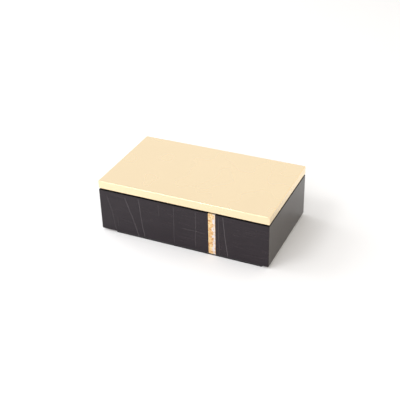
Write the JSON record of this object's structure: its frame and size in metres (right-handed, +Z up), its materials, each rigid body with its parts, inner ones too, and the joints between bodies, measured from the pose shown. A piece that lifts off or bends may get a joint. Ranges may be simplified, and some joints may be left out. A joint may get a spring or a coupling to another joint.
{
  "type": "lidded keepsake box",
  "caption": "Rectangular black-faced wooden keepsake box with a flush brass-clad lift-off lid, a thin shadow line under it and an upright mother-of-pearl strip let into the front.",
  "frame": {"origin": "centre of the bounding box's bottom face, on the plane that the foot pad rests on", "axes": "+Z up, +X along the length, the inlaid front faces -Y"},
  "size_m": [0.2, 0.116, 0.0636],
  "materials": {
    "carcass_wood": "oiled hardwood, fine straight grain",
    "black_facing": "dyed black, satin lacquer, fine pale hairline veins on the front",
    "black_edging": "stained black, matt",
    "mother_of_pearl": "polished gold-lip shell, golden to pearly white",
    "felt_lining": "charcoal wool felt",
    "foot_rubber": "black, matt",
    "brass_sheet": "pale, satin polished and lacquered",
    "stained_core": "stained black, matt"
  },
  "bodies": {
    "box": {"wall_front": "carcass_wood", "wall_back": "carcass_wood", "wall_left": "carcass_wood", "wall_right": "carcass_wood", "corner_keys": "carcass_wood", "base_board": "carcass_wood", "rim_front": "black_edging", "rim_back": "black_edging", "rim_left": "black_edging", "rim_right": "black_edging", "facing_front_left": "black_facing", "facing_front_right": "black_facing", "facing_back": "black_facing", "facing_left": "black_facing", "facing_right": "black_facing", "inlay_slip_1": "mother_of_pearl", "inlay_slip_2": "mother_of_pearl", "inlay_slip_3": "mother_of_pearl", "floor_felt": "felt_lining", "foot_pad": "foot_rubber"},
    "lid": {"lid_cover": "brass_sheet", "lid_core": "stained_core", "lid_panel": "carcass_wood"}
  },
  "joints": [
    {"name": "lid_lift", "type": "slide", "parent": "box", "child": "lid", "axis": [0, 0, 1], "range_m": [0, 0.1]}
  ]
}
